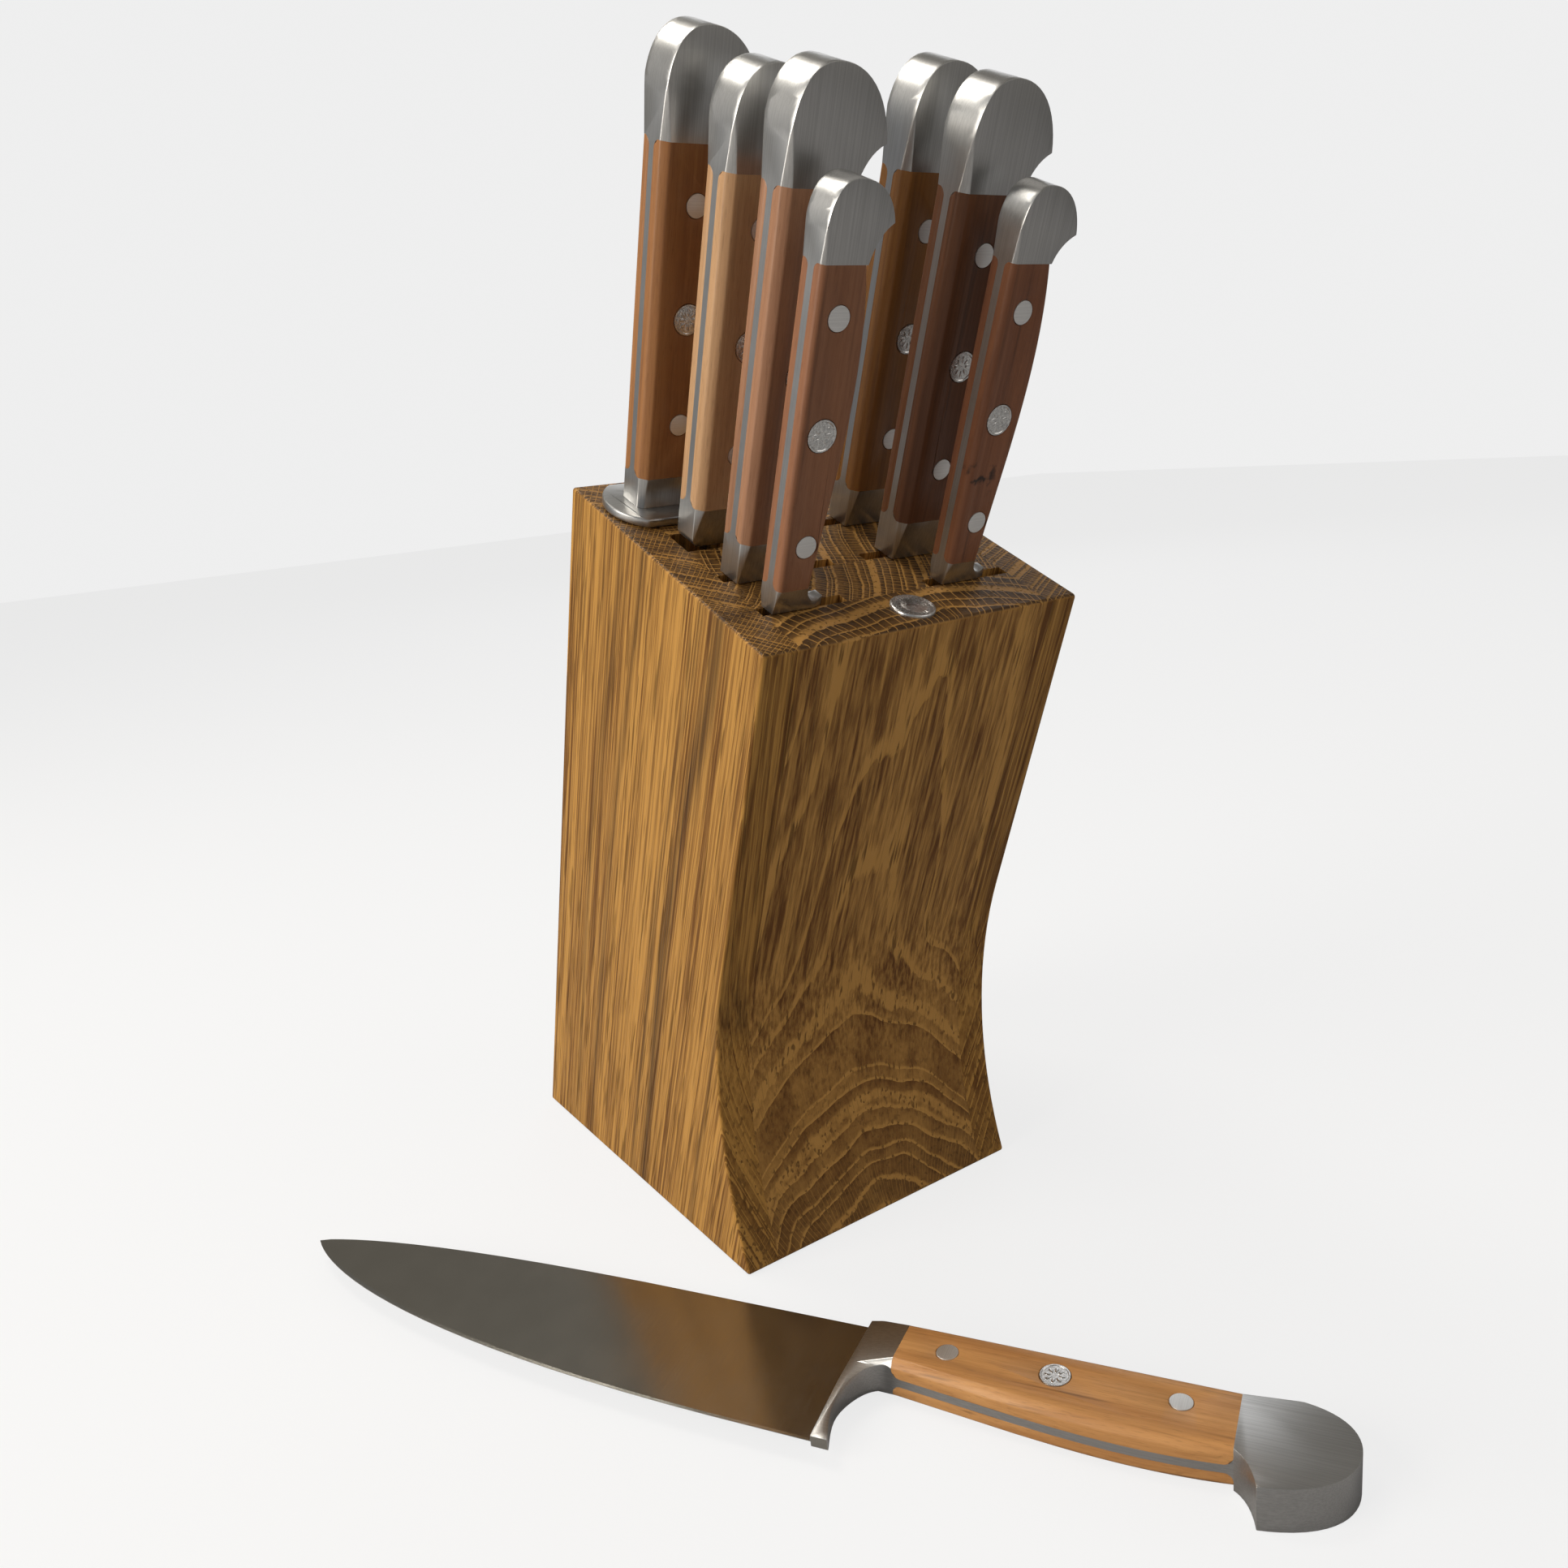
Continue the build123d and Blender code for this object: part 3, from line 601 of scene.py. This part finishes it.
def soft_copy(node, name, width, sharp=28, segments=2, where=None):
    """A copy of a CAD node with a bevel on its sharp edges, or on those that where() picks."""
    piece = bpy.data.objects.new(name, nodes[node].data.copy())
    bpy.context.scene.collection.objects.link(piece)
    piece.data.materials.clear()
    select_only(piece)
    bpy.ops.mesh.customdata_custom_splitnormals_clear()
    bpy.ops.object.mode_set(mode="EDIT")
    bpy.ops.mesh.select_mode(type="EDGE")
    bpy.ops.mesh.select_all(action="SELECT")
    bpy.ops.mesh.remove_doubles(threshold=0.000004)
    bpy.ops.mesh.dissolve_limited(angle_limit=math.radians(0.6))
    bpy.ops.mesh.select_all(action="DESELECT")
    shape = bmesh.from_edit_mesh(piece.data)
    for edge in shape.edges:
        if len(edge.link_faces) != 2 or edge.calc_face_angle(0) < math.radians(sharp):
            continue
        centre = (edge.verts[0].co + edge.verts[1].co) / 2
        edge.select_set(where is None or where(centre))
    bmesh.update_edit_mesh(piece.data)
    bpy.ops.mesh.bevel(offset=width, segments=segments, affect="EDGES", clamp_overlap=False)
    bpy.ops.object.mode_set(mode="OBJECT")
    bpy.ops.object.shade_smooth_by_angle(angle=math.radians(sharp))
    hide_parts(node)
    return piece


# %% [markdown]
# ## A honed edge
# A blade is ground flat and then honed, which leaves a narrow bevel along its
# edge that flashes brighter than the rest.  Each side of the blade is inset
# by the bevel's width, and the rim's outer points are pulled to the middle.

# %% Honing
BLADE_MARGIN = 0.003
HEEL_MARGIN = 0.0004
RIM_SHARE = 0.3


def hone(piece, space, front, width):
    """Give a blade a narrow bevel along its edge, from the tip to the heel."""
    inverse = space.inverted()
    turn = inverse.to_3x3()
    tip = min((inverse @ vertex.co for vertex in piece.data.vertices), key=lambda p: p.x)
    select_only(piece)
    bpy.ops.object.mode_set(mode="EDIT")
    bpy.ops.mesh.select_mode(type="FACE")
    bpy.ops.mesh.select_all(action="DESELECT")
    shape = bmesh.from_edit_mesh(piece.data)
    for face in shape.faces:
        flat = abs((turn @ face.normal).z) > 0.9
        face.select_set(flat and (inverse @ face.calc_center_median()).x < front - BLADE_MARGIN)
    bmesh.update_edit_mesh(piece.data)
    bpy.ops.mesh.inset(thickness=width, use_even_offset=True)
    shape = bmesh.from_edit_mesh(piece.data)
    for vertex in shape.verts:
        place = inverse @ vertex.co
        if place.x > front - HEEL_MARGIN or place.y > tip.y + 0.00001:
            continue
        if any(abs((turn @ face.normal).z) < 0.5 for face in vertex.link_faces):
            place.z *= RIM_SHARE
            vertex.co = space @ place
    bmesh.update_edit_mesh(piece.data)
    bpy.ops.object.mode_set(mode="OBJECT")
    bpy.ops.object.shade_smooth_by_angle(angle=math.radians(28))
    bpy.ops.object.mode_set(mode="EDIT")
    shape = bmesh.from_edit_mesh(piece.data)
    for edge in shape.edges:
        sides = [face for face in edge.link_faces if abs((turn @ face.normal).z) > 0.5]
        on_blade = (inverse @ edge.verts[0].co).x < front - BLADE_MARGIN
        if len(sides) == 2 and on_blade and edge.calc_face_angle() > math.radians(5):
            edge.smooth = False
    bmesh.update_edit_mesh(piece.data)
    bpy.ops.object.mode_set(mode="OBJECT")


# %% Wooden scales and forgings
BOLSTERS = {"chef_knife": 0.0133, "sharpening_steel": 0.0094,
            "paring_knife": 0.0076, "larding_knife": 0.0076}
LARGE_BOLSTER = 0.0123
HONED = 0.0008
TANG_REACH = 0.0018
JOINT_MARGIN = 0.0004
for tool, forging in TOOLS.items():
    space = spaces[tool]
    inverse = space.inverted()
    low, high = wood_ends[tool]
    plank, light, dark, streaks, slot = PLANKS[tool]

    def outer_edge(point, inverse=inverse, low=low, high=high):
        place = inverse @ point
        inside = low.x + JOINT_MARGIN < place.x < high.x - JOINT_MARGIN
        return inside and abs(place.z) > TANG_REACH

    for side, shift in (("front", 0.0), ("back", 0.19)):
        node = f"{stem(tool)}_scale_{side}"
        scale = soft_copy(node, f"{stem(tool)}_wood_{side}", 0.00045, where=outer_edge)
        scale.data.materials.append(pear_material(f"pear_{stem(tool)}_{side}", space, plank + shift,
                                                  light, dark, streaks, float(tool == KNOTTY)))
        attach(scale, tool)

    collar_front = low.x - BOLSTERS.get(tool, LARGE_BOLSTER) - 0.0001

    def off_the_wood(point, inverse=inverse, low=low, high=high, collar_front=collar_front):
        place = inverse @ point
        collar = collar_front < place.x < low.x - JOINT_MARGIN
        return collar or place.x > high.x + JOINT_MARGIN

    steel_piece = soft_copy(forging, f"{stem(tool)}_forging", 0.00022, where=off_the_wood)
    steel_piece.data.materials.append(
        steel_material(f"steel_{stem(tool)}_handle", space, STEEL_TONE, 0.33, 0.20, ALONG))
    steel_piece.data.materials.append(
        steel_material(f"steel_{stem(tool)}_blade", space, BLADE_TONE, 0.20, 0.05, ACROSS))
    for face in steel_piece.data.polygons:
        face.material_index = int((inverse @ face.center).x < collar_front)
    if tool not in ("carving_fork", "sharpening_steel"):
        hone(steel_piece, space, collar_front, HONED)
    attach(steel_piece, tool)
    print(tool, len(steel_piece.data.polygons), "faces")

# %% [markdown]
# ## Rivets
# A rivet is a pin through both scales, ground flush.  Each kind is modelled
# once: a cylinder, with a bevel that leaves the thin dark ring where metal
# meets wood, and insets that give the middle rivet its raised rim.  Copies
# are then stretched to each handle's thickness and set in place.

# %% Helpers for copies
def join(name, pieces):
    bpy.ops.object.select_all(action="DESELECT")
    for piece in pieces:
        piece.select_set(True)
    bpy.context.view_layer.objects.active = pieces[0]
    if len(pieces) > 1:
        bpy.ops.object.join()
    pieces[0].name = name
    return pieces[0]


def copies(model, places):
    """A copy of a model for each placing matrix, each with a mesh of its own."""
    made = []
    for place in places:
        piece = model.copy()
        piece.data = model.data.copy()
        bpy.context.scene.collection.objects.link(piece)
        piece.data.transform(place)
        made.append(piece)
    return made


def discard(model):
    bpy.data.objects.remove(model)


def select_faces(piece, wanted):
    """Enter edit mode with only the wanted faces selected."""
    select_only(piece)
    bpy.ops.object.mode_set(mode="EDIT")
    bpy.ops.mesh.select_mode(type="FACE")
    bpy.ops.mesh.select_all(action="DESELECT")
    shape = bmesh.from_edit_mesh(piece.data)
    for face in shape.faces:
        face.select_set(wanted(face))
    bmesh.update_edit_mesh(piece.data)


# %% The two kinds of rivet
PIN_HALF = 0.010
PLAIN_RADIUS = 0.0033
EMBLEM_RADIUS = extent("chef_knife_emblem_rivet", spaces["chef_knife"])[1].x
SEAM = 0.00006


def pin_blank(name, radius, insets):
    """A pin with stepped heads: insets are (width, depth) pairs from the edge inwards."""
    bpy.ops.object.select_all(action="DESELECT")
    bpy.ops.mesh.primitive_cylinder_add(vertices=48, radius=radius - SEAM, depth=2 * PIN_HALF)
    blank = bpy.context.object
    blank.name = name
    select_faces(blank, lambda face: abs(face.normal.z) > 0.9)
    for width, depth in insets:
        bpy.ops.mesh.inset(thickness=width, depth=depth)
    bpy.ops.mesh.select_mode(type="EDGE")
    bpy.ops.mesh.select_all(action="DESELECT")
    shape = bmesh.from_edit_mesh(blank.data)
    for edge in shape.edges:
        outer = max(vertex.co.xy.length for vertex in edge.verts) > radius - 0.0001
        edge.select_set(outer and abs(edge.verts[0].co.z - edge.verts[1].co.z) < 1e-6)
    bmesh.update_edit_mesh(blank.data)
    bpy.ops.mesh.bevel(offset=0.00014, segments=2, affect="EDGES")
    bpy.ops.object.mode_set(mode="OBJECT")
    bpy.ops.object.shade_smooth_by_angle(angle=math.radians(25))
    return blank


plain_pin = pin_blank("plain_pin", PLAIN_RADIUS, [(0.00018, 0.0), (0.0008, 0.00003)])
middle_pin = pin_blank("middle_pin", EMBLEM_RADIUS,
                       [(0.00022, 0.0), (0.00030, 0.0), (0.00018, -0.00016)])

# %% A rosette for the middle rivet's heads
PETALS = 8
PETAL_REACH = 0.0021
bpy.ops.object.select_all(action="DESELECT")
bpy.ops.mesh.primitive_uv_sphere_add(segments=12, ring_count=6, radius=1,
                                     scale=(0.0011, 0.0006, 0.00015))
petal = bpy.context.object
bpy.ops.object.transform_apply()
head_height = PIN_HALF - 0.00017
petal_places = [Matrix.Rotation(2 * math.pi * i / PETALS, 4, "Z")
                @ Matrix.Translation((PETAL_REACH, 0, side * head_height))
                for i in range(PETALS) for side in (-1, 1)]
middle_pin = join("middle_pin", [middle_pin] + copies(petal, petal_places))
discard(petal)


# %% Rivets in their handles
def set_pin(model, name, tool, centres, half, polish, grain, lines, depth=FINE_SCRATCH):
    """Copies of a pin at the centres, as long as the handle is thick."""
    turn = spaces[tool].to_3x3().to_4x4()
    pins = copies(model, [Matrix()] * len(centres))
    for piece, centre in zip(pins, centres):
        for vertex in piece.data.vertices:
            vertex.co.z += math.copysign(1, vertex.co.z) * (half - PIN_HALF)
        piece.data.transform(Matrix.Translation(centre) @ turn)
    piece = join(name, pins)
    piece.data.materials.append(
        steel_material(name, spaces[tool], RIVET_TONE, polish, grain, lines, depth))
    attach(piece, tool)
    return piece


PIN_GRAIN = (2600.0, 60.0, 2600.0)
EMBLEM_GRAIN = (1500.0, 1500.0, 1500.0)
for tool in TOOLS:
    half = extent(stem(tool) + "_emblem_rivet", spaces[tool])[1].z
    pair = set_pin(plain_pin, f"{stem(tool)}_pins", tool, rivet_centres(tool), half,
                   0.42, 0.12, PIN_GRAIN)
    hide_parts(stem(tool) + "_rivets")
    emblem = set_pin(middle_pin, f"{stem(tool)}_emblem", tool, [spaces[tool].to_translation()],
                     half, 0.26, 0.45, EMBLEM_GRAIN, 0.00003)
    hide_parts(stem(tool) + "_emblem_rivet")
discard(plain_pin)
discard(middle_pin)
print("handles riveted:", len(TOOLS))

# %% [markdown]
# ## Guard, rod and badge
# The steel's guard is a plate whose rim is rounded by hand.  The badge is a
# turned button with a raised edge.

# %% Guard and rod
plate_space = Matrix.Translation(middle("steel_guard")) @ spaces["sharpening_steel"].to_3x3().to_4x4()
guard = soft_copy("steel_guard", "steel_guard_plate", 0.0006, segments=3)
guard.data.materials.append(
    steel_material("steel_guard_plate", plate_space, STEEL_TONE, 0.30, 0.15, ACROSS))
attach(guard, "sharpening_steel")
nodes["steel_rod"].data.materials.clear()
nodes["steel_rod"].data.materials.append(
    steel_material("steel_rod_ribs", plate_space, STEEL_TONE, 0.3, 0.3, (4.0, 1800.0, 1800.0), 0.00015))

# %% Badge
BARS = 26
BAR_REACH = 0.0047
BADGE_STEPS = [(0.0003, 0.0), (0.00025, -0.00022), (0.0021, 0.0), (0.0002, 0.0001)]
badge_space = Matrix.Translation(middle("top_badge")) @ lean_turn
badge = soft_copy("top_badge", "badge_button", 0.0003, segments=3)
crown = max(face.area for face in badge.data.polygons if face.normal.dot(slot_axis) > 0.99)
select_faces(badge, lambda face: face.normal.dot(slot_axis) > 0.99 and face.calc_area() > 0.9 * crown)
for width, depth in BADGE_STEPS:
    bpy.ops.mesh.inset(thickness=width, depth=depth)
bpy.ops.object.mode_set(mode="OBJECT")
bpy.ops.object.select_all(action="DESELECT")
bpy.ops.mesh.primitive_cube_add(size=1, location=(BAR_REACH, 0, 0.00103),
                                scale=(0.0010, 0.00028, 0.0002))
bar = bpy.context.object
bpy.ops.object.transform_apply()
bars = copies(bar, [badge_space @ Matrix.Rotation(2 * math.pi * i / BARS, 4, "Z") for i in range(BARS)])
discard(bar)
badge = join("badge_button", [badge] + bars)
badge.data.materials.append(
    steel_material("badge", badge_space, RIVET_TONE, 0.28, 0.3, (900.0, 900.0, 900.0), 0.00002))
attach(badge, "block")

# %% [markdown]
# ## Floor
# The floor is pale to the eye, with a soft shadow.  To the steel it is a
# duller grey, as a worktop would be, so the knives keep their depth.

# %% Floor material
floor_material, tree, shader = new_material("floor")
shader.inputs["Base Color"].default_value = (0.36, 0.36, 0.37, 1)
shader.inputs["Roughness"].default_value = 0.8
pale = add_node(tree, "BsdfDiffuse", (0.9, 0.9, 0.9, 1))
glow = add_node(tree, "Emission", (0.93, 0.93, 0.93, 1), 1.0)
seen = add_node(tree, "MixShader", 0.84, pale.outputs[0], glow.outputs[0])
looker = add_node(tree, "LightPath")
both = add_node(tree, "MixShader", looker.outputs["Is Camera Ray"], shader.outputs[0], seen.outputs[0])
tree.links.new(both.outputs[0], tree.nodes["Material Output"].inputs["Surface"])
floor.data.materials.append(floor_material)
